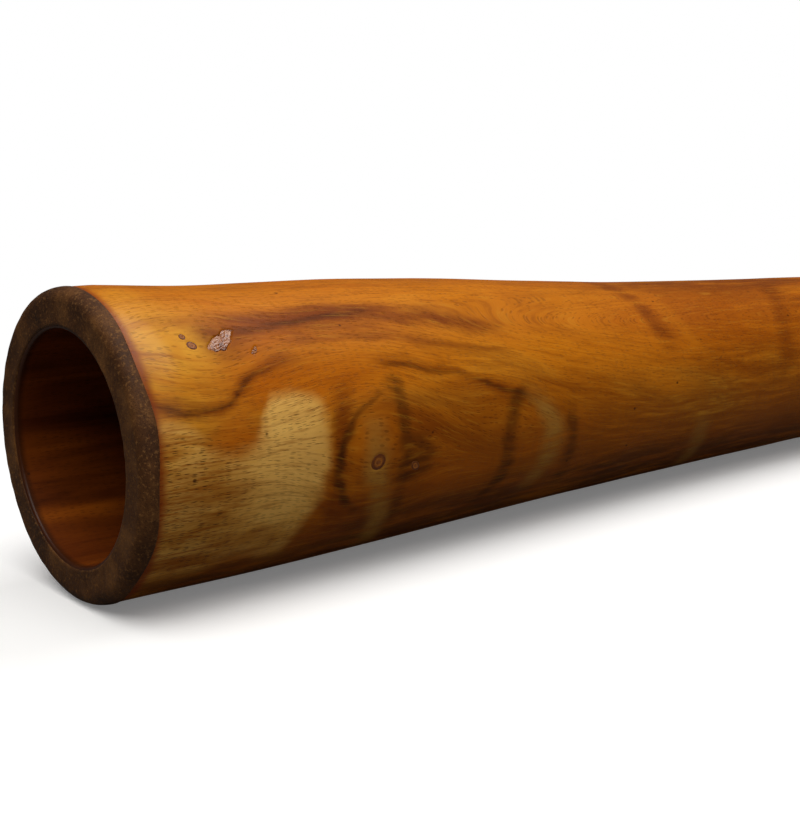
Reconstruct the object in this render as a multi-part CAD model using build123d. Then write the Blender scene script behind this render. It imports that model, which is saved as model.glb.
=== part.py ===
"""A natural-timber didgeridoo lying on its side, in millimetres.

It lies along X on the plane Z = 0, with its wide bell end towards -X and its blowing end towards +X.
The origin is the bottom centre of the whole instrument's box.

The trunk is one hollow log. What is fixed to it: a brushed-on coat that seals the bell's end grain,
a beeswax mouthpiece pressed over the blowing end, the tight knots left in the wall, and the resin that
fills a bark pocket.
"""

import math
import os
from collections import namedtuple

from build123d import *

# Driving dimensions of the whole instrument.
LENGTH = 1300.0  # bell face to wax face
BELL_RADIUS = 50.0
BELL_BORE_RADIUS = 37.5
MOUTH_RADIUS = 23.0
MOUTH_BORE_RADIUS = 17.0

# Bell end.
SEAL_THICKNESS = 0.5  # coat over the end grain
SEAL_EDGE = 0.2  # how far the coat stands proud where it ends on the side of the log
BELL_ROUNDING = 4.0  # outer edge of the wood
BORE_ROUNDING = 1.0  # inner edge of the wood
BELL_ROUND_LENGTH = 12.0  # the log is a true cylinder over this length
BELL_BORE_LENGTH = 40.0  # the bore is a true cylinder over this length
BELL_GAP = 0.5  # air under the bell's end

# Blowing end.
WAX_FRONT = 8.0  # wax in front of the wood
WAX_SKIRT = 18.0  # wax back over the outside of the wood
WAX_LINING = 16.0  # wax back into the bore
WAX_BEAD_RADIUS = 28.0
WAX_BEAD_BACK = 2.0  # from the wood's end back to the bead's widest place
WAX_BORE_RADIUS = 15.0
WAX_THROAT_LENGTH = 9.0  # the wax bore is a true cylinder over this length
WAX_EDGE = 0.4  # thickness where the wax is smoothed out to nothing
WAX_EDGE_SLOPE = 0.12  # rise of the wax along the log where it starts

WOOD_END = LENGTH - WAX_FRONT
MOUTH_ROUND_START = WOOD_END - WAX_SKIRT

# The log between its two true ends. outer and bore are radii, gap is the air under the log, and sway is
# how far its middle line stands to the side. The log rests near the bell, where the gap is least, and on
# the wax, which stands out.
Station = namedtuple("Station", "along outer bore gap sway")
STATIONS = [
    Station(BELL_ROUND_LENGTH, BELL_RADIUS, BELL_BORE_RADIUS, BELL_GAP, 0.0),
    Station(96.0, 48.2, 36.4, 0.3, 0.1),
    Station(150.0, 46.2, 35.0, 0.9, 0.8),
    Station(270.0, 41.3, 30.8, 2.1, 1.4),
    Station(400.0, 38.0, 27.6, 2.4, 1.1),
    Station(620.0, 33.3, 23.4, 2.0, -0.5),
    Station(860.0, 28.8, 20.0, 2.2, -1.6),
    Station(1080.0, 25.4, 17.8, 3.0, -1.1),
    Station(MOUTH_ROUND_START, MOUTH_RADIUS, MOUTH_BORE_RADIUS, WAX_BEAD_RADIUS - MOUTH_RADIUS, 0.0),
]

# Knots. along is from the bell face, and turn is the angle round the log from +Y towards +Z.
Knot = namedtuple("Knot", "along turn radius depth")
KNOT_SLOPE = 0.75  # a knot's inner radius as a share of its outer radius
PIN_KNOTS = [Knot(23.6, 131.5, 1.15, 8.0), Knot(25.4, 135.5, 1.6, 9.0)]
SIDE_KNOTS = [Knot(86.6, 188.0, 3.1, 8.5), Knot(103.0, 192.5, 2.0, 7.0)]

# The bark pocket: one lobed hole and one small chip, cut square to the surface and filled level with it.
Pocket = namedtuple("Pocket", "along turn depth outline")
LOBED_OUTLINE = [
    (-4.4, 3.2),
    (-1.6, 3.6),
    (1.2, 2.0),
    (3.2, -0.4),
    (4.8, -3.2),
    (2.0, -4.2),
    (-0.8, -2.4),
    (-3.0, 0.2),
]
CHIP_OUTLINE = [(-1.0, 1.3), (0.3, 1.2), (1.3, -0.8), (0.9, -1.9), (-0.2, -0.9)]
BARK_POCKETS = [Pocket(36.5, 134.0, 3.0, LOBED_OUTLINE), Pocket(46.5, 139.0, 1.6, CHIP_OUTLINE)]

SECTIONS = 16  # evenly spaced sections that the log and its bore are drawn through
TOOL_REACH = 3.0  # each cutting tool ends this far outside the surface
EDGE_SEARCH = 0.01  # half the width of the slice in which the bell face's edges are looked for


def to_x(along):
    """The X of a distance from the bell face."""
    return along - LENGTH / 2


def slope(along, values, i):
    """The slope at one point of a smooth curve through points: level at an end, a peak or a dip."""
    if i in (0, len(along) - 1):
        return 0.0
    before = (values[i] - values[i - 1]) / (along[i] - along[i - 1])
    after = (values[i + 1] - values[i]) / (along[i + 1] - along[i])
    if before * after <= 0:
        return 0.0
    return 2 * before * after / (before + after)


def smooth_value(name, place):
    """One of the stations' numbers at any place, on a smooth curve that never overshoots the stations."""
    along = [s.along for s in STATIONS]
    values = [getattr(s, name) for s in STATIONS]
    i = max(k for k in range(len(along) - 1) if k == 0 or along[k] <= place)
    span = along[i + 1] - along[i]
    t = (place - along[i]) / span
    start = (1 + 2 * t) * (1 - t) ** 2 * values[i] + t * (1 - t) ** 2 * span * slope(along, values, i)
    end = t * t * (3 - 2 * t) * values[i + 1] - t * t * (1 - t) * span * slope(along, values, i + 1)
    return start + end


def station_at(place):
    """The log's station at any place between its two true ends."""
    return Station(place, *(smooth_value(name, place) for name in Station._fields[1:]))


def spread(first, last):
    """Evenly spaced stations from one place to another."""
    return [station_at(first + (last - first) * k / (SECTIONS - 1)) for k in range(SECTIONS)]


def middle(station):
    """The point on the log's middle line at a station."""
    return Vector(to_x(station.along), station.sway, station.outer + station.gap)


def disc(point, radius):
    """A circle across the X axis about a point."""
    return Plane(origin=point, x_dir=(0, 1, 0), z_dir=(1, 0, 0)) * Circle(radius)


def true_round(end_middle, start, end, radius):
    """A cylinder along X in line with an end's middle, between two distances from the bell face."""
    return extrude(disc(end_middle + Vector(start, 0, 0), radius), end - start)


def turned(end_middle, profile):
    """A body of revolution in line with an end's middle, from a profile of (along, radius)."""
    plane = Plane(origin=end_middle, x_dir=(1, 0, 0), z_dir=(0, -1, 0))
    return revolve(plane * profile, Axis(end_middle, (1, 0, 0)))


# Where each end's own axis meets the bell face's plane.
BELL_MIDDLE = Vector(to_x(0.0), 0.0, BELL_RADIUS + BELL_GAP)
MOUTH_MIDDLE = Vector(to_x(0.0), 0.0, WAX_BEAD_RADIUS)


def face_edge(log, which):
    """One of the edges of the wood's bell face: 0 is the bore's edge and -1 the outer one."""
    face_x = to_x(SEAL_THICKNESS)
    edges = log.edges().filter_by_position(Axis.X, face_x - EDGE_SEARCH, face_x + EDGE_SEARCH)
    return edges.sort_by(SortBy.RADIUS)[which]


def make_log():
    """The log with its bore, before anything is let into its wall."""
    bell = true_round(BELL_MIDDLE, SEAL_THICKNESS, BELL_ROUND_LENGTH, BELL_RADIUS)
    body = loft([disc(middle(s), s.outer) for s in spread(BELL_ROUND_LENGTH, MOUTH_ROUND_START)])
    mouth = true_round(MOUTH_MIDDLE, MOUTH_ROUND_START, WOOD_END, MOUTH_RADIUS)

    bell_bore = true_round(BELL_MIDDLE, 0.0, BELL_BORE_LENGTH, BELL_BORE_RADIUS)
    bore_sections = [disc(BELL_MIDDLE + Vector(BELL_BORE_LENGTH, 0, 0), BELL_BORE_RADIUS)]
    bore_sections += [disc(middle(s), s.bore) for s in spread(BELL_BORE_LENGTH, MOUTH_ROUND_START)[1:]]
    mouth_bore = true_round(MOUTH_MIDDLE, MOUTH_ROUND_START, LENGTH, MOUTH_BORE_RADIUS)

    log = bell + body + mouth - bell_bore - loft(bore_sections) - mouth_bore
    log = fillet(face_edge(log, -1), BELL_ROUNDING)
    return fillet(face_edge(log, 0), BORE_ROUNDING)


def make_bell_seal():
    """The coat on the bell's end grain, from the bore's edge over the face and round the outer edge."""
    wood_face_outer = BELL_RADIUS - BELL_ROUNDING
    wood_face_inner = BELL_BORE_RADIUS + BORE_ROUNDING
    edge_along = SEAL_THICKNESS + BELL_ROUNDING
    rim_inner = (SEAL_THICKNESS, wood_face_inner)
    rim_outer = (SEAL_THICKNESS, wood_face_outer)
    face_inner = (0.0, wood_face_inner + SEAL_THICKNESS)
    face_outer = (0.0, wood_face_outer)
    wood_edge = (edge_along, BELL_RADIUS)
    coat_edge = (edge_along, BELL_RADIUS + SEAL_EDGE)
    profile = [
        Line(rim_inner, face_inner),
        Line(face_inner, face_outer),
        TangentArc(face_outer, coat_edge, tangent=(0, 1)),
        Line(coat_edge, wood_edge),
        RadiusArc(wood_edge, rim_outer, -BELL_ROUNDING),
        Line(rim_outer, rim_inner),
    ]
    return turned(BELL_MIDDLE, make_face(profile))


def make_wax():
    """The beeswax mouthpiece: a rolled bead over the end of the wood, smoothed out over and inside it."""
    skirt_start = (MOUTH_ROUND_START, MOUTH_RADIUS)
    skirt_top = (MOUTH_ROUND_START, MOUTH_RADIUS + WAX_EDGE)
    bead = (WOOD_END - WAX_BEAD_BACK, WAX_BEAD_RADIUS)
    front = (LENGTH, (WAX_BEAD_RADIUS + WAX_BORE_RADIUS) / 2)
    throat_front = (WOOD_END, WAX_BORE_RADIUS)
    throat_back = (WOOD_END - WAX_THROAT_LENGTH, WAX_BORE_RADIUS)
    lining_top = (WOOD_END - WAX_LINING, MOUTH_BORE_RADIUS - WAX_EDGE)
    lining_start = (WOOD_END - WAX_LINING, MOUTH_BORE_RADIUS)
    wood_inner = (WOOD_END, MOUTH_BORE_RADIUS)
    wood_outer = (WOOD_END, MOUTH_RADIUS)
    profile = [
        Line(skirt_start, skirt_top),
        Spline(skirt_top, bead, tangents=[(1, WAX_EDGE_SLOPE), (1, 0)]),
        Spline(bead, front, tangents=[(1, 0), (0, -1)]),
        Spline(front, throat_front, tangents=[(0, -1), (-1, 0)]),
        Line(throat_front, throat_back),
        Spline(throat_back, lining_top, tangents=[(-1, 0), (-1, WAX_EDGE_SLOPE)]),
        Line(lining_top, lining_start),
        Line(lining_start, wood_inner),
        Line(wood_inner, wood_outer),
        Line(wood_outer, skirt_start),
    ]
    return turned(MOUTH_MIDDLE, make_face(profile))


def surface_plane(along, turn, inset):
    """A plane square to the log's side at a place on it, sunk by inset and facing outwards."""
    station = station_at(along)
    out = Vector(0, math.cos(math.radians(turn)), math.sin(math.radians(turn)))
    origin = middle(station) + out * (station.outer - inset)
    return Plane(origin=origin, x_dir=(1, 0, 0), z_dir=out)


def knot_tool(knot):
    """The cone that a knot fills, from inside the wall to outside the surface."""
    plane = surface_plane(knot.along, knot.turn, knot.depth)
    height = knot.depth + TOOL_REACH
    from_base = (Align.CENTER, Align.CENTER, Align.MIN)
    return plane * Cone(knot.radius * KNOT_SLOPE, knot.radius, height, align=from_base)


def pocket_tool(pocket):
    """The prism that a bark pocket fills."""
    outline = Spline(*pocket.outline, periodic=True)
    plane = surface_plane(pocket.along, pocket.turn, pocket.depth)
    return extrude(plane * make_face(outline), pocket.depth + TOOL_REACH)


def let_in(log, tools):
    """Cuts each tool out of the log. Returns the log and what fills the holes, level with the surface."""
    fills = []
    for tool in tools:
        fills += (log & tool).solids()
        log = log - tool
    return log, Compound(children=fills)


def main():
    os.makedirs("parts", exist_ok=True)
    log = make_log()
    log, pin_knots = let_in(log, [knot_tool(k) for k in PIN_KNOTS])
    log, side_knots = let_in(log, [knot_tool(k) for k in SIDE_KNOTS])
    log, resin_fill = let_in(log, [pocket_tool(p) for p in BARK_POCKETS])
    parts = {
        "trunk": log,
        "bell_end_seal": make_bell_seal(),
        "wax_mouthpiece": make_wax(),
        "pin_knots": pin_knots,
        "side_knots": side_knots,
        "resin_fill": resin_fill,
    }
    for name, shape in parts.items():
        export_step(shape, f"parts/{name}.step")
        box = shape.bounding_box()
        print(name, len(shape.solids()), round(shape.volume), box.min, box.max)


main()
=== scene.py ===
"""A natural-timber didgeridoo lying on a pale floor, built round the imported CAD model, in metres."""

import math

import bmesh
import bpy
import numpy as np
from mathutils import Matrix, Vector
from mathutils.bvhtree import BVHTree


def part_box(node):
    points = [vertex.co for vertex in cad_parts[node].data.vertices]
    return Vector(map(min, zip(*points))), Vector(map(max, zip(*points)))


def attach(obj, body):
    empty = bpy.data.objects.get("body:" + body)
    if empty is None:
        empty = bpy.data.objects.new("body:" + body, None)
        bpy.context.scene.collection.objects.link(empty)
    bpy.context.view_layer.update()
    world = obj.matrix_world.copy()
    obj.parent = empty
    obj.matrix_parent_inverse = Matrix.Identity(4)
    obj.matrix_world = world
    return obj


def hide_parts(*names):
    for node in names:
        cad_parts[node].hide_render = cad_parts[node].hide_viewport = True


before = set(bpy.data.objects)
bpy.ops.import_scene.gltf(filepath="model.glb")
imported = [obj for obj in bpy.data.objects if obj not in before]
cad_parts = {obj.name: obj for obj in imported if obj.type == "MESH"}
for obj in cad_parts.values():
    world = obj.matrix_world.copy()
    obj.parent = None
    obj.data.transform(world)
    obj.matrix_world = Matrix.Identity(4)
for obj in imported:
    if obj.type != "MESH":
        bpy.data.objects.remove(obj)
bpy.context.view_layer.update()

MM = 0.001
BELL_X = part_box("bell_end_seal")[0].x
WOOD_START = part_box("trunk")[0].x - BELL_X
WOOD_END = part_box("trunk")[1].x - BELL_X

BELL_ROUNDING = 4.0 * MM  # outer edge of the wood at the bell
BORE_ROUNDING = 1.0 * MM  # inner edge of the wood at the bell
WAX_THROAT_RADIUS = 15.0 * MM
MEASURED = (0.0135, 1.285)  # the trunk is measured from here to here, clear of its rounded edges
OUTSIDE = 1.0  # rays towards the trunk start this far from the origin

CAMERA_FROM_BELL = (-0.1864, -0.3946, 0.1477)  # from the point on the floor under the bell face
CAMERA_AZIMUTH = 39.07  # degrees from +Y towards +X
CAMERA_ELEVATION = -11.70
LENS = 60.14
SENSOR = 36.0


# ---------------------------------------------------------------- the log's shape, measured from the CAD

def smooth_between(x, xs, ys):
    """A smooth curve through points, by cubic pieces whose slopes are the mean of those either side."""
    slopes = np.gradient(ys, xs)
    k = np.clip(np.searchsorted(xs, x) - 1, 0, len(xs) - 2)
    span = xs[k + 1] - xs[k]
    t = np.clip((x - xs[k]) / span, 0, 1)
    rise = (1 + 2 * t) * (1 - t) ** 2 * ys[k] + t * t * (3 - 2 * t) * ys[k + 1]
    return rise + span * (t * (1 - t) ** 2 * slopes[k] - t * t * (1 - t) * slopes[k + 1])


class Log:
    """The CAD trunk's middle line, outer radius and bore radius at any distance from the bell face."""

    def __init__(self, count=45):
        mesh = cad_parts["trunk"].data
        points = [v.co[:] for v in mesh.vertices]
        self.tree = BVHTree.FromPolygons(points, [p.vertices[:] for p in mesh.polygons])
        self.along = np.linspace(*MEASURED, count)
        rows = np.array([self.measure(a) for a in self.along])
        self.y, self.z, self.outer, self.bore = rows.T

    def reach(self, start, direction):
        """How far the trunk's surface is from a point in a direction."""
        return self.tree.ray_cast(Vector(start), Vector(direction))[3]

    def measure(self, along):
        """(middle y, middle z, outer radius, bore radius) at one distance."""
        x = BELL_X + along
        top = OUTSIDE - self.reach((x, 0, OUTSIDE), (0, 0, -1))
        bottom = self.reach((x, 0, -OUTSIDE), (0, 0, 1)) - OUTSIDE
        z = (top + bottom) / 2
        low = self.reach((x, -OUTSIDE, z), (0, 1, 0)) - OUTSIDE
        high = OUTSIDE - self.reach((x, OUTSIDE, z), (0, -1, 0))
        middle = (low + high) / 2
        bore = (self.reach((x, middle, z), (0, 0, 1)) + self.reach((x, middle, z), (0, 0, -1))) / 2
        return middle, z, (high - low) / 2, bore

    def at(self, along):
        """(middle y, middle z, outer radius, bore radius) for an array of distances."""
        a = np.clip(along, self.along[0], self.along[-1])
        return [smooth_between(a, self.along, v) for v in (self.y, self.z, self.outer, self.bore)]


LOG = Log()


def log_radii(along):
    """(outer radius, bore radius) of the CAD trunk at one distance."""
    return [float(v[0]) for v in LOG.at(np.array([along]))[2:]]


def waves(along, turn, count, lengths, lobes, seed):
    """Smooth irregularity between about -1 and 1 on the log: a sum of waves along and round it."""
    rng = np.random.default_rng(seed)
    total = np.zeros(np.broadcast(along, turn).shape)
    for _ in range(count):
        wave = 2 * math.pi / rng.uniform(*lengths)
        around = rng.integers(lobes[0], lobes[1] + 1)
        total = total + np.sin(wave * along + around * turn + rng.uniform(0, 2 * math.pi))
    return total / math.sqrt(count)


def fade(value, low, high):
    """0 below low, 1 above high and smooth between them. low may be the larger."""
    t = np.clip((value - low) / (high - low), 0, 1)
    return t * t * (3 - 2 * t)


def to_points(along, turn, radius):
    """Points in the row frame from a distance, an angle in radians from +Y towards +Z, and a radius."""
    y, z, _, _ = LOG.at(along)
    return np.stack([BELL_X + along + 0 * turn, y + radius * np.cos(turn), z + radius * np.sin(turn)], -1)


# ---------------------------------------------------------------- mesh helpers

def closed_grid(name, points, uv=None):
    """A mesh from a grid of points that closes on itself both ways. uv is each row's and column's place."""
    rows, columns = points.shape[:2]
    i, j = np.meshgrid(np.arange(rows), np.arange(columns), indexing="ij")
    i2, j2 = (i + 1) % rows, (j + 1) % columns
    quads = np.stack([i * columns + j, i * columns + j2, i2 * columns + j2, i2 * columns + j], -1)
    obj = mesh_object(name, points.reshape(-1, 3), quads.reshape(-1, 4))
    if uv is not None:
        along, turn = uv
        next_turn = turn[j2] + (j2 == 0)
        corner = np.stack([
            np.stack([along[i], turn[j]], -1), np.stack([along[i], next_turn], -1),
            np.stack([along[i2], next_turn], -1), np.stack([along[i2], turn[j]], -1),
        ], -2)
        layer = obj.data.uv_layers.new(name="place")
        layer.data.foreach_set("uv", corner.astype(np.float32).ravel())
    return obj


def mesh_object(name, points, faces):
    """A smooth-shaded object in the scene."""
    mesh = bpy.data.meshes.new(name)
    mesh.from_pydata(np.asarray(points, float).tolist(), [], [list(f) for f in faces])
    mesh.polygons.foreach_set("use_smooth", [True] * len(mesh.polygons))
    mesh.update()
    obj = bpy.data.objects.new(name, mesh)
    bpy.context.scene.collection.objects.link(obj)
    return obj


def face_outwards(obj):
    """Turns every face to look out of a closed mesh."""
    work = bmesh.new()
    work.from_mesh(obj.data)
    bmesh.ops.recalc_face_normals(work, faces=work.faces)
    work.to_mesh(obj.data)
    work.free()


def finish_piece(obj, material, node, slot, *more_nodes):
    """Gives a piece its material and says which body it rides and what it replaces; its slot is not used.
    """
    face_outwards(obj)
    obj.data.materials.append(material)
    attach(obj, "root")
    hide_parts(node, *more_nodes)


# ---------------------------------------------------------------- what is let into the wall

class Fill:
    """A knot or a pocket in the log's side, where the CAD has it.

    The lengths are in mm and the angles in degrees. slant is how far it is turned on the surface, and depth
    is how deep the wood is cut.
    """

    def __init__(self, along, turn, half_along, half_across, slant=0.0, depth=0.35):
        self.along, self.turn = along * MM, math.radians(turn)
        self.half = (half_along * MM, half_across * MM)
        self.slant, self.depth = math.radians(slant), depth * MM

    def local(self, along, turn):
        """Distance along and across from the fill's middle, turned by its slant, in metres."""
        radius = LOG.at(np.array(self.along))[2]
        u, v = along - self.along, (turn - self.turn) * radius
        c, s = math.cos(self.slant), math.sin(self.slant)
        return u * c + v * s, v * c - u * s

    def outline(self, angle):
        """The outline's wobble round the fill, near 1."""
        return np.ones_like(angle)

    def share(self, along, turn):
        """How far out a place is: 0 at the middle and 1 on the outline."""
        u, v = self.local(along, turn)
        angle = np.arctan2(v / self.half[1], u / self.half[0])
        return np.hypot(u / self.half[0], v / self.half[1]) / self.outline(angle)

    def recess(self, along, turn):
        """How deep the wood is cut below its own surface, in metres."""
        edge = 0.3 * MM / min(self.half)
        return self.depth * fade(self.share(along, turn), 1 + edge, 1 - edge)


class Pocket(Fill):
    """A bark pocket, with a lobed outline."""

    def outline(self, angle):
        lobes = 0.16 * np.sin(2 * angle + 0.6) + 0.13 * np.sin(3 * angle + 2.1)
        return 1 + lobes + 0.08 * np.sin(7 * angle)


PIN_KNOTS = [Fill(23.6, 131.5, 1.15, 1.1, 0, 0.25), Fill(25.4, 135.5, 1.75, 1.5, 20, 0.25)]
SIDE_KNOTS = [Fill(86.6, 188.0, 3.1, 2.7, -25, 0.3), Fill(103.0, 192.5, 2.1, 1.5, 40, 0.3)]
POCKETS = [Pocket(36.5, 134.0, 5.6, 2.7, -42, 0.7), Pocket(46.5, 139.0, 1.7, 0.8, -55, 0.5)]


def fill_piece(name, fills, top, bottom=-2.5 * MM, reach=1.12, rings=26, spokes=84):
    """Closed plugs for a node's fills.

    top gives the surface's height from a fill's number, shares and angles.
    """
    shares = np.concatenate([np.linspace(0.001, reach, rings), [reach, reach * 0.6, 0.001]])
    share, angle = np.meshgrid(shares, np.arange(spokes) * 2 * math.pi / spokes, indexing="ij")
    points, faces = [], []
    for number, fill in enumerate(fills):
        height = top(number, share, angle)
        height[rings:] = bottom
        base = len(points) * share.size
        points.append(fill_points(fill, share, angle, height).reshape(-1, 3))
        for k in range(len(shares) - 1):
            for j in range(spokes):
                a, b = base + k * spokes + j, base + k * spokes + (j + 1) % spokes
                faces.append((a, b, b + spokes, a + spokes))
        faces.append([base + j for j in range(spokes)][::-1])
        faces.append([base + (len(shares) - 1) * spokes + j for j in range(spokes)])
    obj = mesh_object(name, np.concatenate(points), faces)
    spread_out = np.tile(np.stack([share, angle / (2 * math.pi)], -1).reshape(-1, 2), (len(fills), 1))
    corners = np.zeros(len(obj.data.loops), np.int32)
    obj.data.loops.foreach_get("vertex_index", corners)
    layer = obj.data.uv_layers.new(name="share")
    layer.data.foreach_set("uv", spread_out[corners].astype(np.float32).ravel())
    return obj


def fill_points(fill, share, angle, height):
    """Points of a plug, in the row frame, height above the log's own surface."""
    radius = float(LOG.at(np.array(fill.along))[2])
    wobble = fill.outline(angle)
    u = share * wobble * fill.half[0] * np.cos(angle)
    v = share * wobble * fill.half[1] * np.sin(angle)
    c, s = math.cos(fill.slant), math.sin(fill.slant)
    along, turn = fill.along + u * c - v * s, fill.turn + (u * s + v * c) / radius
    return to_points(along, turn, surface_radius(along, turn, recessed=False) + height)


# ---------------------------------------------------------------- the log's surface

def surface_radius(along, turn, recessed=True):
    """The finished log's outer radius: the CAD's, less shallow hollows and the recesses for the fills."""
    outer = LOG.at(along)[2]
    ends = fade(along, 0.006, 0.075) * fade(along, 1.272, 1.20)
    slow = 0.5 + 0.35 * waves(along, turn, 7, (0.16, 0.42), (1, 3), 3)
    quick = 0.5 + 0.5 * waves(along, turn, 9, (0.035, 0.09), (2, 6), 5)
    hollow = ends * (0.75 * MM * np.clip(slow, 0, 1.4) + 0.08 * MM * np.clip(quick, 0, 1.4))
    cut = sum(f.recess(along, turn) for f in PIN_KNOTS + SIDE_KNOTS + POCKETS) if recessed else 0.0
    return outer - hollow - cut


def steps(*stretches):
    """Numbers from stretches of (start, end, largest step), each joined to the next."""
    values = []
    for start, end, step in stretches:
        values += list(np.linspace(start, end, max(2, math.ceil((end - start) / step)) + 1)[:-1])
    return np.array(values)


def build_trunk():
    """The log as one closed skin: the side, the mouth's end, the bore and the bell's face.

    The steps, in degrees and mm, are finest where the knots and the bark pockets are.
    """
    turn = np.radians(steps(
        (0, 126, 1.8), (126, 142.5, 0.42), (142.5, 183, 1.8), (183, 197, 0.6), (197, 360, 1.8)))
    side = MM * steps(
        (4.5, 21, 1.2), (21, 49, 0.36), (49, 82, 1.4), (82, 108, 0.5), (108, 400, 1.9), (400, 1272, 6.5),
        (1272, 1292, 4.0))
    bore = MM * steps((2, 60, 1.6), (60, 400, 4.0), (400, 1290, 12.0))[::-1]
    bell_outer, bell_bore = log_radii(MEASURED[0])
    mouth_outer, mouth_bore = log_radii(WOOD_END)
    face_outer, face_inner = bell_outer - BELL_ROUNDING, bell_bore + BORE_ROUNDING

    rows = []
    for a in np.linspace(0, math.pi / 2, 9)[:-1]:
        back, out = BELL_ROUNDING * (1 - math.cos(a)), BELL_ROUNDING * math.sin(a)
        rows.append(("edge", WOOD_START + back, face_outer + out))
    rows += [("side", a, 0.0) for a in side]
    for s in (0.0, 0.33, 0.67, 1.0):
        rows.append(("edge", WOOD_END, mouth_outer + (mouth_bore - mouth_outer) * s))
    rows += [("bore", a, 0.0) for a in bore]
    for a in np.linspace(0, math.pi / 2, 7):
        back, out = BORE_ROUNDING * (1 - math.sin(a)), BORE_ROUNDING * math.cos(a)
        rows.append(("edge", WOOD_START + back, face_inner - out))
    rows += [("edge", WOOD_START, face_inner + (face_outer - face_inner) * s) for s in (0.3, 0.7)]

    points = np.zeros((len(rows), len(turn), 3))
    for k, (kind, along, radius) in enumerate(rows):
        a = np.full(len(turn), along)
        if kind == "side":
            radius = surface_radius(a, turn)
        if kind == "bore":
            radius = bore_radius(a, turn)
        points[k] = to_points(a, turn, radius)
    along = np.array([r[1] for r in rows])
    return closed_grid("trunk_wood", points, (along, turn / (2 * math.pi)))


def bore_radius(along, turn):
    """The bore's radius, with long soft flutes that only go outwards into the wall."""
    depth = fade(along, 0.004, 0.05) * fade(along, 1.27, 1.2)
    flutes = np.clip(0.5 + 0.5 * waves(along, turn, 8, (0.12, 0.5), (2, 7), 11), 0, 1.5)
    return LOG.at(along)[3] + depth * 0.5 * MM * flutes


def build_seal():
    """The coat over the bell's end grain: brushed a little unevenly, with a wandering edge on the side."""
    turn = np.radians(np.arange(0, 360, 1.0))
    low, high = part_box("bell_end_seal")
    outer = (high.y - low.y) / 2 - 0.02 * MM
    wood_outer, bore = log_radii(MEASURED[0])
    face_outer, lip = wood_outer - BELL_ROUNDING, bore + BORE_ROUNDING
    edge = (4.9 + 0.55 * waves(0 * turn, turn, 9, (1, 2), (2, 11), 21)) * MM
    path = [(0.75 * MM, lip - 0.15 * MM), (0.3 * MM, lip + 0.1 * MM), (0.08 * MM, lip + 0.35 * MM)]
    path += [(0.0, lip + 0.7 * MM + (face_outer - lip - 0.7 * MM) * s) for s in np.linspace(0, 1, 14)]
    rise = np.linspace(0, 1, 15)[1:]
    rows = [(np.full(len(turn), a), np.full(len(turn), r)) for a, r in path]
    for s in rise:
        angle = s * math.pi / 2
        along = edge * (1 - math.cos(angle))
        rows.append((along, np.full(len(turn), face_outer + (outer - face_outer) * math.sin(angle))))
    rows.append((edge + 0.25 * MM, np.full(len(turn), wood_outer - 0.05 * MM)))
    rows.append((edge - 0.6 * MM, np.full(len(turn), wood_outer - 0.9 * MM)))
    rows.append((np.full(len(turn), 1.6 * MM), np.full(len(turn), face_outer)))
    rows.append((np.full(len(turn), 1.6 * MM), np.full(len(turn), lip + 1.2 * MM)))
    points = np.stack([to_points(a, turn, r) for a, r in rows])
    grain = waves(points[..., 2] * 0, turn[None, :] + 0 * points[..., 0], 10, (1, 2), (20, 60), 23)
    upper = np.arange(len(rows)) < len(path) + len(rise) - 1
    points[..., 0] += 0.05 * MM * np.clip(1 + grain, 0, 2) * upper[:, None]
    uv = (np.arange(len(rows)) / len(rows), turn / (2 * math.pi))
    return closed_grid("bell_end_seal_coat", points, uv)


def build_wax():
    """The beeswax mouthpiece: rolled and pressed by hand, so its bead is uneven."""
    low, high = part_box("wax_mouthpiece")
    bead = (high.y - low.y) / 2
    start, end = low.x - BELL_X, high.x - BELL_X
    wood_outer, wood_bore = log_radii(WOOD_END)
    throat = WAX_THROAT_RADIUS
    turn = np.radians(np.arange(0, 360, 2.5))
    front = (bead + throat) / 2
    half = (bead - throat) / 2
    skirt = wood_outer + 0.35 * MM
    widest = WOOD_END - 2 * MM
    lining = 15.5 * MM

    path = [(start, wood_outer - 0.3 * MM), (start, skirt)]
    for s in np.linspace(0, 1, 16)[1:]:
        path.append((start + (widest - start) * s, skirt + (bead - skirt) * fade(s, 0, 1)))
    for s in np.linspace(0, math.pi / 2, 12)[1:]:
        path.append((widest + (end - widest) * math.sin(s), front + half * math.cos(s)))
    for s in np.linspace(0, math.pi / 2, 12)[1:]:
        path.append((WOOD_END + (end - WOOD_END) * math.cos(s), front - half * math.sin(s)))
    bead_rows = len(path)
    for s in np.linspace(0, 1, 10)[1:]:
        path.append((WOOD_END - lining * s, throat + (wood_bore - 0.3 * MM - throat) * fade(s, 0.5, 1)))
    path.append((WOOD_END - lining, wood_bore + 0.3 * MM))
    path.append((WOOD_END - 1 * MM, wood_bore + 0.5 * MM))
    path.append((WOOD_END - 1 * MM, wood_outer - 0.5 * MM))
    rows = []
    for k, (along, radius) in enumerate(path):
        a = np.full(len(turn), along)
        body = fade(radius, throat, bead) if k < bead_rows else 0.0
        dents = np.clip(0.5 + 0.6 * waves(a, turn, 9, (0.02, 0.06), (3, 9), 31), 0, 1.6)
        rows.append(to_points(a, turn, radius - 0.55 * MM * body * dents))
    uv = (np.arange(len(path)) / len(path), turn / (2 * math.pi))
    return closed_grid("wax_mouthpiece_ring", np.stack(rows), uv)


# ---------------------------------------------------------------- shader helpers

def srgb(r, g, b):
    """A linear colour from 0 to 255 screen values."""
    def linear(v):
        v = v / 255
        return v / 12.92 if v <= 0.04045 else ((v + 0.055) / 1.055) ** 2.4
    return (linear(r), linear(g), linear(b), 1.0)


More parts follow.
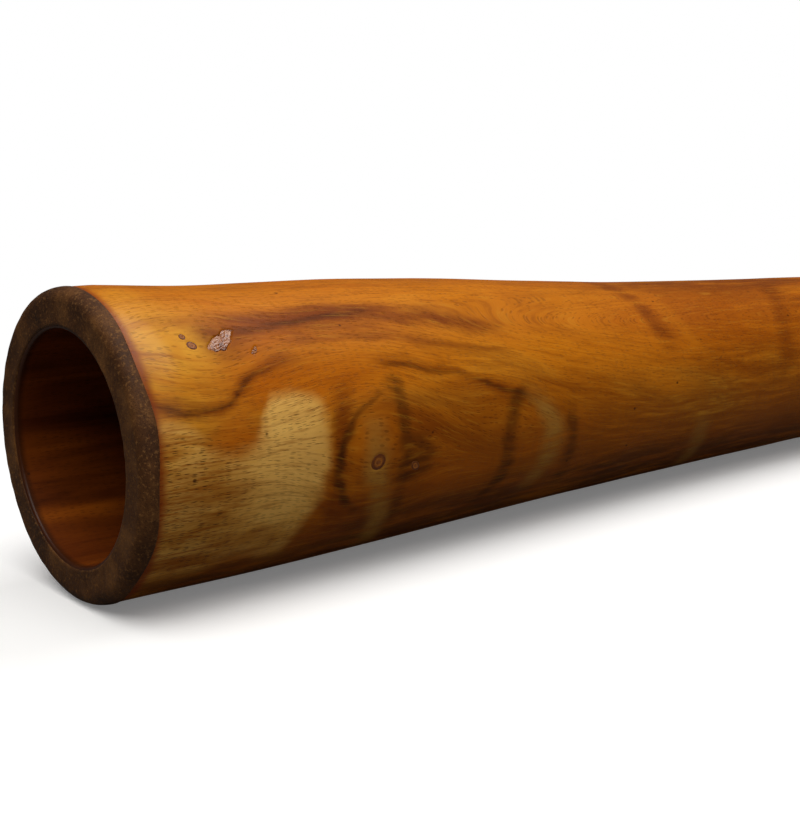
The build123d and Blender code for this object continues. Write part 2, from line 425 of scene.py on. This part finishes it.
class Shader:
    """A principled material and short ways to add the nodes that drive it."""

    def __init__(self, name):
        self.material = bpy.data.materials.new(name)
        self.material.use_nodes = True
        self.tree = self.material.node_tree
        self.tree.nodes.clear()
        output = self.new("ShaderNodeOutputMaterial")
        self.bsdf = self.new("ShaderNodeBsdfPrincipled")
        self.tree.links.new(self.bsdf.outputs["BSDF"], output.inputs["Surface"])
        self.object = self.new("ShaderNodeTexCoord").outputs["Object"]

    def new(self, kind):
        return self.tree.nodes.new(kind)

    def put(self, socket, value):
        if isinstance(value, bpy.types.NodeSocket):
            self.tree.links.new(value, socket)
        else:
            socket.default_value = value

    def set(self, **values):
        for name, value in values.items():
            self.put(self.bsdf.inputs[name.replace("_", " ")], value)

    def math(self, operation, a, b=0.0):
        node = self.new("ShaderNodeMath")
        node.operation = operation
        self.put(node.inputs[0], a)
        self.put(node.inputs[1], b)
        return node.outputs[0]

    def add(self, *values):
        total = values[0]
        for v in values[1:]:
            total = self.math("ADD", total, v)
        return total

    def times(self, *values):
        total = values[0]
        for v in values[1:]:
            total = self.math("MULTIPLY", total, v)
        return total

    def most(self, *values):
        total = values[0]
        for v in values[1:]:
            total = self.math("MAXIMUM", total, v)
        return total

    def fade(self, value, low, high, bottom=0.0, top=1.0):
        """bottom up to low and top past high, smooth between. low may be the larger."""
        node = self.new("ShaderNodeMapRange")
        node.interpolation_type = "SMOOTHSTEP"
        if low > high:
            low, high, bottom, top = high, low, top, bottom
        for key, number in (("From Min", low), ("From Max", high), ("To Min", bottom), ("To Max", top)):
            node.inputs[key].default_value = number
        self.put(node.inputs["Value"], value)
        return node.outputs["Result"]

    def scaled(self, vector, x, y, z):
        node = self.new("ShaderNodeVectorMath")
        node.operation = "MULTIPLY"
        self.put(node.inputs[0], vector)
        node.inputs[1].default_value = (x, y, z)
        return node.outputs[0]

    def noise(self, vector, scale, detail=3.0, roughness=0.5, distortion=0.0, colour=False):
        node = self.new("ShaderNodeTexNoise")
        self.put(node.inputs["Vector"], vector)
        node.inputs["Scale"].default_value = scale
        node.inputs["Detail"].default_value = detail
        node.inputs["Roughness"].default_value = roughness
        node.inputs["Distortion"].default_value = distortion
        return node.outputs["Color" if colour else "Fac"]

    def cells(self, vector, scale=1.0):
        """(distance from the cell's point, random colour of the cell)"""
        node = self.new("ShaderNodeTexVoronoi")
        self.put(node.inputs["Vector"], vector)
        node.inputs["Scale"].default_value = scale
        return node.outputs["Distance"], node.outputs["Color"]

    def split(self, vector):
        node = self.new("ShaderNodeSeparateXYZ")
        self.put(node.inputs[0], vector)
        return node.outputs[0], node.outputs[1], node.outputs[2]

    def mix(self, share, a, b):
        node = self.new("ShaderNodeMix")
        node.data_type = "RGBA"
        node.clamp_factor = True
        self.put(node.inputs[0], share)
        self.put(node.inputs[6], a)
        self.put(node.inputs[7], b)
        return node.outputs[2]

    def ramp(self, value, *stops):
        node = self.new("ShaderNodeValToRGB")
        elements = node.color_ramp.elements
        for k, (place, colour) in enumerate(stops):
            element = elements[k] if k < 2 else elements.new(place)
            element.position = place
            element.color = colour
        self.put(node.inputs[0], value)
        return node.outputs[0]

    def curve(self, value, points):
        """A smooth curve through points, held level past its ends."""
        first, last = points[0][0], points[-1][0]
        low = min(p[1] for p in points)
        high = max(p[1] for p in points) + 1e-6
        node = self.new("ShaderNodeFloatCurve")
        line = node.mapping.curves[0]
        for k, (x, y) in enumerate(points):
            place = ((x - first) / (last - first), (y - low) / (high - low))
            if k < 2:
                line.points[k].location = place
            else:
                line.points.new(*place)
        node.mapping.update()
        share = self.math("DIVIDE", self.math("SUBTRACT", value, first), last - first)
        clamped = self.math("MINIMUM", self.math("MAXIMUM", share, 0.0), 1.0)
        self.put(node.inputs["Value"], clamped)
        return self.add(self.times(node.outputs[0], high - low), low)

    def line(self, run, cross, points, width, taper=6.0):
        """1 on a line and 0 past its width. points are (place along its run, place across)."""
        ordered = sorted(points)
        off = self.math("ABSOLUTE", self.math("SUBTRACT", cross, self.curve(run, ordered)))
        body = self.fade(off, width, width * 0.1)
        start = self.fade(run, ordered[0][0] - taper / 2, ordered[0][0] + taper / 2)
        end = self.fade(run, ordered[-1][0] + taper / 2, ordered[-1][0] - taper / 2)
        return self.times(body, start, end)

    def spot(self, along, turn, middle, half, edge=0.35):
        """1 inside an ellipse on the log's side, given in mm and degrees, and 0 outside it."""
        u = self.math("DIVIDE", self.math("SUBTRACT", along, middle[0]), half[0])
        v = self.math("DIVIDE", self.math("SUBTRACT", turn, middle[1]), half[1])
        distance = self.math("SQRT", self.add(self.times(u, u), self.times(v, v)))
        return self.fade(distance, 1 + edge, 1 - edge)

    def bump(self, *layers):
        """A chain of bumps from (height, distance in metres, strength)."""
        normal = None
        for height, distance, strength in layers:
            node = self.new("ShaderNodeBump")
            node.inputs["Distance"].default_value = distance
            node.inputs["Strength"].default_value = strength
            self.put(node.inputs["Height"], height)
            if normal is not None:
                self.put(node.inputs["Normal"], normal)
            normal = node.outputs[0]
        self.put(self.bsdf.inputs["Normal"], normal)


# ---------------------------------------------------------------- the wood

DEEP = srgb(50, 23, 6)
RED_BROWN = srgb(118, 54, 4)
BROWN = srgb(142, 74, 7)
ORANGE = srgb(174, 90, 7)
AMBER = srgb(188, 109, 15)
GOLD = srgb(208, 147, 42)
SAPWOOD = srgb(222, 170, 84)
OLIVE = srgb(160, 112, 44)


def placed(s):
    """(distance, angle) as they are, pushed a little and pushed a lot, in mm from the bell and degrees."""
    uv = s.new("ShaderNodeUVMap")
    uv.uv_map = "place"
    along, turn, _ = s.split(uv.outputs[0])
    along, turn = s.times(along, 1000.0), s.times(turn, 360.0)
    soft_a, soft_t, _ = s.split(s.noise(s.scaled(s.object, 24, 34, 34), 1.0, 2.0, colour=True))
    fine_a, fine_t, _ = s.split(s.noise(s.scaled(s.object, 90, 170, 170), 1.0, 4.0, 0.6, colour=True))
    soft_along = s.add(along, s.times(s.add(soft_a, -0.5), 10.0))
    soft_turn = s.add(turn, s.times(s.add(soft_t, -0.5), 10.0))
    hard_along = s.add(soft_along, s.times(s.add(fine_a, -0.5), 4.5))
    hard_turn = s.add(soft_turn, s.times(s.add(fine_t, -0.5), 4.5))
    return (along, turn), (soft_along, soft_turn), (hard_along, hard_turn)


def grain_space(s, along, turn):
    """Where the fibres run, in mm: along the log, lifted across the near side and parted by the knots."""
    lift = s.curve(along, [(50, 0), (100, 6), (150, 19), (200, 31), (250, 40), (330, 44)])
    turn = s.math("SUBTRACT", turn, s.times(lift, s.fade(turn, 112.0, 140.0), s.fade(turn, 222.0, 178.0)))
    for middle, half in (((88, 176), (26, 24)), ((28, 133), (22, 18)), ((150, 165), (22, 20))):
        parted = s.spot(along, turn, middle, half, 0.9)
        across = s.math("SUBTRACT", turn, float(middle[1]))
        turn = s.math("SUBTRACT", turn, s.times(across, parted, 0.8))
    angle = s.times(turn, math.pi / 180)
    space = s.new("ShaderNodeCombineXYZ")
    s.put(space.inputs[0], along)
    s.put(space.inputs[1], s.times(s.math("COSINE", angle), 45.0))
    s.put(space.inputs[2], s.times(s.math("SINE", angle), 45.0))
    return space.outputs[0]


def wood_figure(s, grain):
    """The whole log's ground: bands of growth, and streaks of two widths along the grain."""
    slow = s.noise(s.scaled(grain, 0.0060, 0.018, 0.018), 1.0, 3.0, 0.55, 0.5)
    bands = s.math("SINE", s.times(slow, 70.0))
    wide = s.noise(s.scaled(grain, 0.011, 0.075, 0.075), 1.0, 4.0, 0.6, 0.5)
    narrow = s.noise(s.scaled(grain, 0.025, 0.30, 0.30), 1.0, 4.0, 0.65, 0.4)
    ground = s.ramp(slow, (0.32, BROWN), (0.45, ORANGE), (0.60, AMBER), (0.72, GOLD))
    ground = s.mix(s.fade(bands, 0.2, 1.0, 0.0, 0.35), ground, RED_BROWN)
    ground = s.mix(s.fade(bands, -0.3, -1.0, 0.0, 0.30), ground, AMBER)
    ground = s.mix(s.fade(wide, 0.50, 0.66, 0.0, 0.62), ground, RED_BROWN)
    ground = s.mix(s.fade(wide, 0.47, 0.33, 0.0, 0.55), ground, AMBER)
    ground = s.mix(s.fade(narrow, 0.52, 0.70, 0.0, 0.50), ground, RED_BROWN)
    return s.mix(s.fade(narrow, 0.46, 0.30, 0.0, 0.40), ground, AMBER)


def far_sapwood(s, along):
    """Pale patches elsewhere on the log, away from the bell's side."""
    patch = s.noise(s.scaled(s.object, 4, 19, 19), 1.0, 5.0, 0.6, 0.4)
    return s.times(s.fade(patch, 0.555, 0.66), s.fade(along, 410.0, 640.0, 0.0, 0.6))


def bell_patch(s, along, turn):
    """The pale sapwood patch on the bell's side, with a lobed edge."""
    lower = s.curve(
        along, [(0, 160), (14, 163), (24, 170), (34, 173), (42, 163), (52, 156), (60, 158), (68, 165)])
    upper = s.curve(along, [(0, 226), (20, 228), (38, 221), (50, 226), (66, 224)])
    right = s.curve(turn, [(155, 61), (165, 65), (180, 66), (195, 65), (206, 62), (228, 58)])
    above = s.fade(s.math("SUBTRACT", turn, lower), -3.0, 5.0)
    below = s.fade(s.math("SUBTRACT", upper, turn), -5.0, 8.0)
    inside = s.fade(s.math("SUBTRACT", right, along), -2.5, 4.0)
    return s.times(above, below, inside)


def bell_figure_and_painted_light(s, ground, grain, along, turn):
    """The marks on the side near the bell, each in mm from the bell and degrees round the log.

    Returns the marked ground and the pale patch's mask.
    """
    broken = s.fade(s.noise(s.scaled(grain, 0.03, 0.22, 0.22), 1.0, 4.0, 0.6), 0.32, 0.60, 0.35, 1.0)

    def tint(colour, mask, share):
        nonlocal ground
        ground = s.mix(s.times(mask, broken, share), ground, colour)

    def area(colour, middle, half, share, edge=0.6):
        tint(colour, s.spot(along, turn, middle, half, edge), share)

    def streak(colour, points, width, share, taper=10.0):
        tint(colour, s.line(along, turn, points, width, taper), share)

    def arc(colour, points, width, share, taper=8.0):
        tint(colour, s.line(turn, along, [(t, a) for a, t in points], width, taper), share)

    # partly the wood's own amber tone and partly a painted highlight: a lighter band along the top of the
    # log, where the light falls most
    area(AMBER, (120, 108), (120, 20), 0.60)
    area(RED_BROWN, (112, 194), (40, 28), 0.75)
    area(BROWN, (240, 200), (120, 34), 0.95)
    # painted shade: a dark band along the lower side of the log, darkening the underside where it turns
    # away from the light
    area(DEEP, (200, 232), (260, 22), 0.75)
    area(AMBER, (190, 135), (62, 26), 0.75)
    area(ORANGE, (280, 133), (55, 20), 0.9)
    area(RED_BROWN, (310, 98), (76, 20), 0.85)
    area(srgb(140, 70, 4), (285, 135), (50, 26), 0.6)
    area(RED_BROWN, (300, 166), (46, 10), 0.5)
    area(RED_BROWN, (165, 166), (60, 7), 0.5)
    streak(AMBER, [(120, 130), (160, 143), (200, 157), (250, 174)], 10.0, 0.75, 30.0)
    area(GOLD, (21, 138), (17, 24), 1.0)
    area(GOLD, (12, 118), (10, 16), 0.7)
    area(AMBER, (36, 112), (34, 12), 0.6)
    area(ORANGE, (40, 152), (20, 10), 0.7)
    area(RED_BROWN, (38, 134), (9, 8), 0.9)
    area(AMBER, (84, 142), (44, 9), 0.7)
    area(ORANGE, (74, 156), (28, 9), 0.7)
    area(RED_BROWN, (82, 125), (46, 6), 1.0)
    streak(RED_BROWN, [(34, 128), (60, 126), (84, 124), (112, 127), (150, 136)], 7.5, 0.95, 24.0)
    streak(DEEP, [(40, 130), (58, 129), (80, 126), (98, 124.5)], 3.0, 0.55, 18.0)
    streak(RED_BROWN, [(60, 136), (90, 137), (120, 141), (150, 149)], 3.0, 0.6, 18.0)
    streak(AMBER, [(46, 117), (80, 116), (120, 117)], 5.0, 0.7, 18.0)
    streak(RED_BROWN, [(92, 147), (118, 154), (140, 163), (166, 170)], 4.6, 0.85, 16.0)
    streak(DEEP, [(96, 149), (122, 156), (142, 164), (160, 169)], 1.8, 0.5, 16.0)
    streak(RED_BROWN, [(4, 156), (16, 158), (28, 160), (37, 153), (46, 147), (60, 143)], 5.0, 0.9)
    streak(DEEP, [(8, 157), (18, 159), (29, 159.5), (38, 152), (47, 146.5)], 1.8, 0.6)

    pale = bell_patch(s, along, turn)
    mottle = s.noise(s.scaled(grain, 0.05, 0.16, 0.16), 1.0, 4.0, 0.6, 0.5)
    sapwood = s.ramp(mottle, (0.36, srgb(172, 114, 40)), (0.50, srgb(204, 148, 64)), (0.62, SAPWOOD))
    bright = s.times(s.spot(along, turn, (50, 178), (16, 26), 0.6), 0.7)
    sapwood = s.mix(bright, sapwood, srgb(232, 184, 98))
    ground = s.mix(s.times(pale, 0.94), ground, sapwood)
    area(ORANGE, (31, 170), (9, 7), 0.8)
    area(srgb(140, 88, 28), (12, 200), (18, 26), 0.55)
    area(BROWN, (20, 186), (13, 10), 0.25)
    area(BROWN, (30, 218), (34, 8), 0.55)

    arc(RED_BROWN, [(73, 158), (71, 170), (70, 185), (71, 200), (77, 222)], 7.0, 1.0, 14.0)
    arc(DEEP, [(87, 163), (79, 168), (73, 176), (70, 186), (72, 196), (80, 207)], 3.6, 0.85, 12.0)
    area(ORANGE, (84, 178), (9, 12), 0.6)
    arc(OLIVE, [(85, 174), (86, 190), (91, 205), (96, 238)], 8.0, 0.85, 12.0)
    arc(DEEP, [(96, 158), (97, 176), (98, 196), (100, 214)], 4.5, 0.55, 14.0)
    area(DEEP, (103, 190), (8, 9), 0.75)
    area(DEEP, (95, 158), (4, 4), 0.6)
    area(ORANGE, (126, 200), (18, 9), 0.6)
    arc(DEEP, [(156, 164), (147, 180), (148, 200), (140, 218)], 6.0, 0.7, 16.0)
    arc(OLIVE, [(160, 168), (167, 178), (171, 192), (166, 216)], 8.5, 0.9, 16.0)
    arc(DEEP, [(179, 176), (181, 196), (184, 222)], 5.0, 0.55, 16.0)
    arc(RED_BROWN, [(232, 80), (236, 104), (239, 120), (243, 154)], 8.0, 0.8, 20.0)
    arc(AMBER, [(252, 120), (254, 140), (262, 158)], 7.0, 0.5, 20.0)
    arc(OLIVE, [(264, 196), (266, 216), (270, 238)], 8.0, 0.6, 16.0)
    arc(RED_BROWN, [(338, 100), (328, 130), (318, 172)], 9.0, 0.7, 24.0)
    return ground, pale


def grain_lines(s, grain):
    """Fine fibres, pores as short dark dashes and a few specks: (fibres, pores, specks)."""
    fibres = s.noise(s.scaled(grain, 0.085, 1.45, 1.45), 1.0, 3.0, 0.65)
    distance, chance = s.cells(s.scaled(grain, 0.34, 3.2, 3.2))
    red, _, _ = s.split(chance)
    pores = s.times(s.fade(distance, 0.46, 0.20), s.fade(red, 0.34, 0.50))
    spot, luck = s.cells(s.scaled(s.object, 150, 190, 190))
    rare, _, _ = s.split(luck)
    specks = s.times(s.fade(spot, 0.13, 0.06), s.fade(rare, 0.86, 0.88))
    return fibres, pores, specks


def make_side_wood():
    """The varnished side of the log."""
    s = Shader("varnished_log")
    (true_along, true_turn), soft, hard = placed(s)
    grain = grain_space(s, *soft)
    ground = wood_figure(s, grain)
    ground = s.mix(far_sapwood(s, true_along), ground, s.mix(0.4, SAPWOOD, OLIVE))
    marked, pale = bell_figure_and_painted_light(s, ground, grain, *hard)
    ground = s.mix(s.fade(true_along, 400.0, 340.0), ground, marked)
    fibres, pores, specks = grain_lines(s, grain_space(s, true_along, true_turn))
    ground = s.mix(s.fade(fibres, 0.5, 0.72, 0.0, 0.42), ground, RED_BROWN)
    ground = s.mix(s.fade(fibres, 0.48, 0.28, 0.0, 0.20), ground, GOLD)
    ragged = s.times(pale, s.fade(true_along, 46.0, 16.0, 0.25, 1.0))
    ground = s.mix(s.times(ragged, s.fade(fibres, 0.46, 0.60, 0.0, 0.55)), ground, BROWN)
    ground = s.mix(s.times(pores, s.add(0.30, s.times(ragged, 0.50))), ground, DEEP)
    ground = s.mix(s.times(specks, 0.8), ground, DEEP)
    ground = s.mix(s.fade(true_along, 8.5, 5.4, 0.0, 0.8), ground, srgb(120, 46, 10))
    wear = s.noise(s.object, 26.0, 4.0, 0.6)
    rubbed = s.spot(true_along, true_turn, (7, 146), (8, 20), 0.6)
    s.set(Base_Color=ground, Roughness=s.fade(wear, 0.3, 0.7, 0.34, 0.50), Specular_IOR_Level=0.05,
          Coat_Weight=s.add(0.015, s.times(rubbed, 0.50)), Coat_Roughness=0.28)
    s.bump((s.noise(s.object, 75.0, 3.0), 0.0006, 0.25), (fibres, 0.00008, 0.35), (pores, -0.00012, 0.55))
    return s.material


def make_bore_wood():
    """The varnished bore: redder and plainer than the side, with faint marks along it."""
    s = Shader("varnished_bore")
    streaks = s.noise(s.scaled(s.object, 8, 95, 95), 1.0, 4.0, 0.6, 0.5)
    blotch = s.noise(s.scaled(s.object, 14, 26, 26), 1.0, 3.0, 0.5)
    colour = s.ramp(streaks, (0.30, srgb(70, 28, 5)), (0.50, srgb(112, 52, 8)), (0.70, srgb(146, 74, 14)))
    colour = s.mix(s.fade(blotch, 0.42, 0.66, 0.0, 0.55), colour, srgb(84, 32, 6))
    x, _, _ = s.split(s.object)
    colour = s.mix(s.fade(x, BELL_X + 0.004, BELL_X + 0.001, 0.0, 0.85), colour, DEEP)
    fibres, pores, specks = grain_lines(s, s.scaled(s.object, 1000, 1000, 1000))
    colour = s.mix(s.times(pores, 0.5), colour, DEEP)
    colour = s.mix(s.times(specks, 0.8), colour, DEEP)
    s.set(Base_Color=colour, Roughness=s.fade(blotch, 0.3, 0.7, 0.30, 0.46), Specular_IOR_Level=0.16,
          Coat_Weight=0.04, Coat_Roughness=0.2)
    s.bump((streaks, 0.0006, 0.4), (fibres, 0.0001, 0.4))
    return s.material


def make_seal_coat():
    """The near-matte dark coat over end grain: speckled, and browner in places."""
    s = Shader("end_grain_coat")
    blotch = s.noise(s.object, 60.0, 4.0, 0.6)
    speckle = s.noise(s.object, 900.0, 3.0, 0.7)
    distance, _ = s.cells(s.object, 1900.0)
    colour = s.ramp(blotch, (0.30, srgb(44, 24, 11)), (0.52, srgb(74, 44, 20)), (0.72, srgb(108, 70, 34)))
    colour = s.mix(s.fade(speckle, 0.50, 0.72, 0.0, 0.6), colour, srgb(138, 96, 52))
    colour = s.mix(s.fade(distance, 0.35, 0.12, 0.0, 0.75), colour, srgb(24, 13, 7))
    s.set(Base_Color=colour, Roughness=s.fade(speckle, 0.3, 0.7, 0.52, 0.70), Specular_IOR_Level=0.14)
    s.bump((blotch, 0.0006, 0.3), (speckle, 0.00022, 0.6), (distance, 0.0001, 0.5))
    return s.material


def make_wax_skin():
    """Aged beeswax: honey brown, a little cloudy, with finger marks and dust."""
    s = Shader("aged_beeswax")
    cloud = s.noise(s.object, 55.0, 4.0, 0.55)
    dust = s.noise(s.object, 700.0, 3.0, 0.7)
    smear = s.noise(s.scaled(s.object, 160, 60, 60), 1.0, 3.0, 0.5, 0.8)
    colour = s.ramp(
        cloud, (0.30, srgb(120, 74, 24)), (0.50, srgb(160, 106, 40)), (0.72, srgb(190, 138, 62)))
    colour = s.mix(s.fade(dust, 0.60, 0.74, 0.0, 0.4), colour, srgb(84, 52, 22))
    s.set(Base_Color=colour, Roughness=s.fade(smear, 0.3, 0.7, 0.36, 0.56), IOR=1.44,
          Subsurface_Weight=0.25, Subsurface_Scale=0.004, Coat_Weight=0.1, Coat_Roughness=0.3)
    s.bump((smear, 0.0006, 0.5), (dust, 0.00012, 0.4))
    return s.material


def make_knot_wood():
    """Tight knots: a dark ring round a brown heart, by the plug's share of the way out, under varnish."""
    s = Shader("varnished_knots")
    uv = s.new("ShaderNodeUVMap")
    uv.uv_map = "share"
    share, _, _ = s.split(uv.outputs[0])
    rings = s.noise(s.object, 520.0, 3.0, 0.6, 0.5)
    fibre = s.noise(s.scaled(s.object, 800, 2400, 2400), 1.0, 2.0)
    rough_share = s.add(share, s.times(s.add(rings, -0.5), 0.5))
    colour = s.ramp(
        rough_share, (0.20, srgb(128, 70, 18)), (0.45, srgb(158, 92, 24)), (0.66, srgb(116, 60, 12)),
        (0.86, srgb(90, 43, 9)), (1.0, srgb(124, 68, 14)))
    colour = s.mix(s.fade(fibre, 0.5, 0.7, 0.0, 0.5), colour, DEEP)
    s.set(Base_Color=colour, Roughness=0.36, Specular_IOR_Level=0.2, Coat_Weight=0.08, Coat_Roughness=0.16)
    s.bump((rings, 0.00025, 0.5), (fibre, 0.00006, 0.4))
    return s.material


def make_resin():
    """Resin in a bark pocket: glossy brown, broken by pale painted glints that stand in for reflections off
    its rough surface.
    """
    s = Shader("pocket_resin")
    painted_glint_flecks = s.noise(s.scaled(s.object, 420, 900, 1300), 1.0, 3.0, 0.6, 0.6)
    crumbs = s.noise(s.object, 420.0, 3.0, 0.65, 1.2)
    colour = s.ramp(crumbs, (0.38, srgb(92, 42, 6)), (0.52, srgb(138, 72, 12)), (0.66, srgb(156, 98, 40)))
    # painted highlight: the pale marks mixed into the base colour stand in for glints off the resin's rough
    # surface
    colour = s.mix(s.fade(painted_glint_flecks, 0.59, 0.66, 0.0, 0.65), colour, srgb(196, 168, 152))
    s.set(Base_Color=colour, Roughness=0.22, Specular_IOR_Level=0.4, Coat_Weight=0.35, Coat_Roughness=0.08)
    s.bump((crumbs, 0.0005, 0.6), (painted_glint_flecks, 0.0003, 0.5))
    return s.material


# ---------------------------------------------------------------- the pieces in the wall

def knot_top(number, share, angle):
    """A knot's surface: almost level with the wood, with a groove round it and faint rings."""
    ring = 0.03 * np.sin(share * 14 + 1.3 * np.sin(angle * 2 + number))
    return (-0.03 + ring - 0.26 * fade(share, 0.90, 1.08)) * MM


def resin_top(number, share, angle):
    """The resin's surface: lumpy, a little below the wood, and lower at its rim."""
    u, v = share * np.cos(angle), share * np.sin(angle)
    lumps = 0.14 * np.sin(9.0 * u + 2.0 * np.sin(7.0 * v)) * np.cos(8.0 * v + 1.0)
    lumps += 0.08 * np.sin(17.0 * u - 11.0 * v + number)
    return (-0.10 + 0.45 * lumps - 0.30 * fade(share, 0.86, 1.08)) * MM


def build_object():
    """Every piece, with the bore's material on the trunk's faces that are nearer the bore than the side."""
    side, bore, knot = make_side_wood(), make_bore_wood(), make_knot_wood()
    trunk = build_trunk()
    finish_piece(trunk, side, "trunk", "trunk_wood")
    trunk.data.materials.append(bore)
    centres = np.zeros(len(trunk.data.polygons) * 3)
    trunk.data.polygons.foreach_get("center", centres)
    centres = centres.reshape(-1, 3)
    along = centres[:, 0] - BELL_X
    y, z, outer, inner = LOG.at(along)
    radius = np.hypot(centres[:, 1] - y, centres[:, 2] - z)
    trunk.data.polygons.foreach_set("material_index", (radius < (outer + inner) / 2).astype(np.int32))
    finish_piece(build_seal(), make_seal_coat(), "bell_end_seal", "end_seal")
    finish_piece(build_wax(), make_wax_skin(), "wax_mouthpiece", "beeswax")
    finish_piece(fill_piece("pin_knot_plugs", PIN_KNOTS, knot_top), knot, "pin_knots", "knot_wood")
    finish_piece(fill_piece("side_knot_plugs", SIDE_KNOTS, knot_top), knot, "side_knots", "knot_wood")
    finish_piece(fill_piece("bark_pocket_resin", POCKETS, resin_top), make_resin(), "resin_fill", "resin")


# ---------------------------------------------------------------- floor, light and camera

def build_floor():
    """A pale floor that fades out to the white surroundings a little way from the log.

    The camera sees it paler than the light does, so that it doesn't light the log's underside.
    """
    radius = 6.0
    rings, spokes = 24, 96
    points, faces = [(0.0, 0.0, 0.0)], []
    for k in range(1, rings + 1):
        for j in range(spokes):
            angle = 2 * math.pi * j / spokes
            reach = radius * (k / rings) ** 2
            points.append((reach * math.cos(angle), reach * math.sin(angle), 0.0))
    for j in range(spokes):
        faces.append((0, 1 + j, 1 + (j + 1) % spokes))
    for k in range(rings - 1):
        for j in range(spokes):
            a, b = 1 + k * spokes + j, 1 + k * spokes + (j + 1) % spokes
            faces.append((a, a + spokes, b + spokes, b))
    floor = mesh_object("floor", points, faces)
    s = Shader("pale_floor")
    path = s.new("ShaderNodeLightPath")
    to_light, to_camera = (0.17, 0.16, 0.15, 1.0), (0.90, 0.90, 0.90, 1.0)
    shade = s.mix(path.outputs["Is Camera Ray"], to_light, to_camera)
    s.set(Base_Color=shade, Roughness=0.9, Specular_IOR_Level=0.1, Emission_Color=(1.0, 1.0, 1.0, 1.0),
          Emission_Strength=s.times(path.outputs["Is Camera Ray"], 0.16))
    x, y, _ = s.split(s.object)
    away = s.fade(s.math("ABSOLUTE", y), 0.10, 0.42)
    beyond = s.fade(s.math("ABSOLUTE", x), 0.70, 0.95)
    clear = s.new("ShaderNodeBsdfTransparent")
    blend = s.new("ShaderNodeMixShader")
    s.put(blend.inputs[0], s.most(away, beyond))
    s.put(blend.inputs[1], s.bsdf.outputs[0])
    s.put(blend.inputs[2], clear.outputs[0])
    output = next(n for n in s.tree.nodes if n.type == "OUTPUT_MATERIAL")
    s.put(output.inputs["Surface"], blend.outputs[0])
    floor.data.materials.append(s.material)


def aim(obj, target):
    """Points a light at a place."""
    obj.rotation_mode = "QUATERNION"
    obj.rotation_quaternion = (Vector(target) - obj.location).to_track_quat("-Z", "Y")


def area_light(name, place, target, size, watts, colour=(1.0, 1.0, 1.0)):
    """A soft rectangular light."""
    data = bpy.data.lights.new(name, "AREA")
    data.shape = "RECTANGLE"
    data.size, data.size_y = size
    data.energy = watts
    data.color = colour
    light = bpy.data.objects.new(name, data)
    light.location = place
    aim(light, target)
    bpy.context.scene.collection.objects.link(light)


def build_lights():
    """Three soft lights and a faint even one, in front of a white background."""
    bell = (BELL_X + 0.1, 0.0, 0.05)
    key_place = (BELL_X - 0.28, -0.38, 1.15)
    area_light("key", key_place, bell, size=(1.5, 1.2), watts=18.5, colour=(1.0, 0.98, 0.95))
    area_light("top", (0.35, 0.05, 1.5), (0.2, 0.0, 0.05), size=(1.8, 0.5), watts=13.0)
    area_light("front", (0.2, -1.9, 0.8), (0.0, 0.0, 0.05), size=(1.8, 0.8), watts=2.6)
    world = bpy.data.worlds.new("studio")
    world.use_nodes = True
    tree = world.node_tree
    tree.nodes.clear()
    output = tree.nodes.new("ShaderNodeOutputWorld")
    seen, lit = tree.nodes.new("ShaderNodeBackground"), tree.nodes.new("ShaderNodeBackground")
    seen.inputs["Color"].default_value = (1.0, 1.0, 1.0, 1.0)
    lit.inputs["Color"].default_value = (1.0, 1.0, 1.0, 1.0)
    lit.inputs["Strength"].default_value = 0.08
    path = tree.nodes.new("ShaderNodeLightPath")
    blend = tree.nodes.new("ShaderNodeMixShader")
    tree.links.new(path.outputs["Is Camera Ray"], blend.inputs[0])
    tree.links.new(lit.outputs[0], blend.inputs[1])
    tree.links.new(seen.outputs[0], blend.inputs[2])
    tree.links.new(blend.outputs[0], output.inputs["Surface"])
    bpy.context.scene.world = world
    bpy.context.scene.view_settings.view_transform = "Standard"


def build_camera():
    """Stands close to the bell and looks along the log, as the photograph does."""
    data = bpy.data.cameras.new("camera")
    data.sensor_width = SENSOR
    data.lens = LENS
    data.clip_start, data.clip_end = 0.01, 60.0
    camera = bpy.data.objects.new("camera", data)
    behind, aside, height = CAMERA_FROM_BELL
    camera.location = (BELL_X + behind, aside, height)
    azimuth, elevation = math.radians(CAMERA_AZIMUTH), math.radians(CAMERA_ELEVATION)
    level = math.cos(elevation)
    forward = Vector((math.sin(azimuth) * level, math.cos(azimuth) * level, math.sin(elevation)))
    camera.rotation_mode = "QUATERNION"
    camera.rotation_quaternion = forward.to_track_quat("-Z", "Y")
    bpy.context.scene.collection.objects.link(camera)
    bpy.context.scene.camera = camera


build_camera()
build_floor()
build_lights()
build_object()
